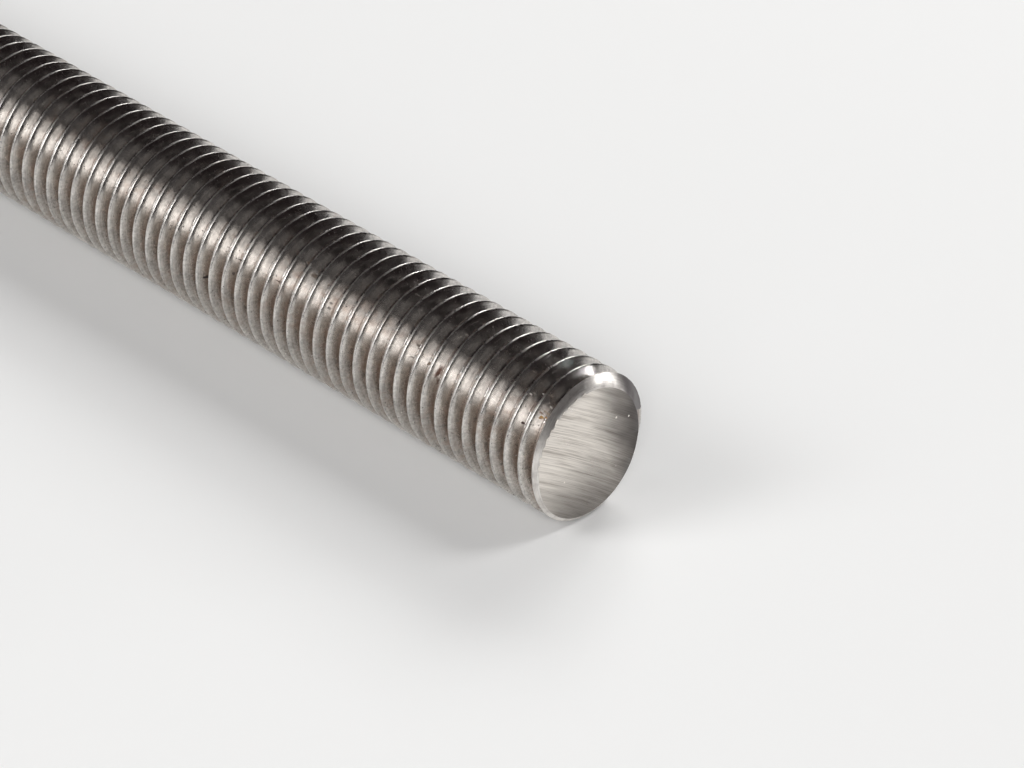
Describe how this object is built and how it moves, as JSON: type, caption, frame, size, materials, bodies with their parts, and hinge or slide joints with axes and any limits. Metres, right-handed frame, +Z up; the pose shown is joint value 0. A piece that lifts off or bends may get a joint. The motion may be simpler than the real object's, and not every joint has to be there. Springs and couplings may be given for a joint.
{
  "type": "threaded rod",
  "caption": "Bare steel rod with a coarse right-hand thread over its whole length, sawn off at both ends, with ground chamfers.",
  "frame": {"origin": "on the rod's axis, midway between the back face and the foremost point of the front one", "axes": "+X along the rod towards the end with the off-centre chamfer, +Z up, -Y towards the side where the leaning front face stands furthest forward"},
  "size_m": [0.3048, 0.025, 0.025],
  "materials": {
    "rod_steel": "bare rolled steel, satin flanks, sawn ends, a few small rust marks"
  },
  "bodies": {
    "root": {"threaded_rod": "rod_steel"}
  },
  "joints": []
}
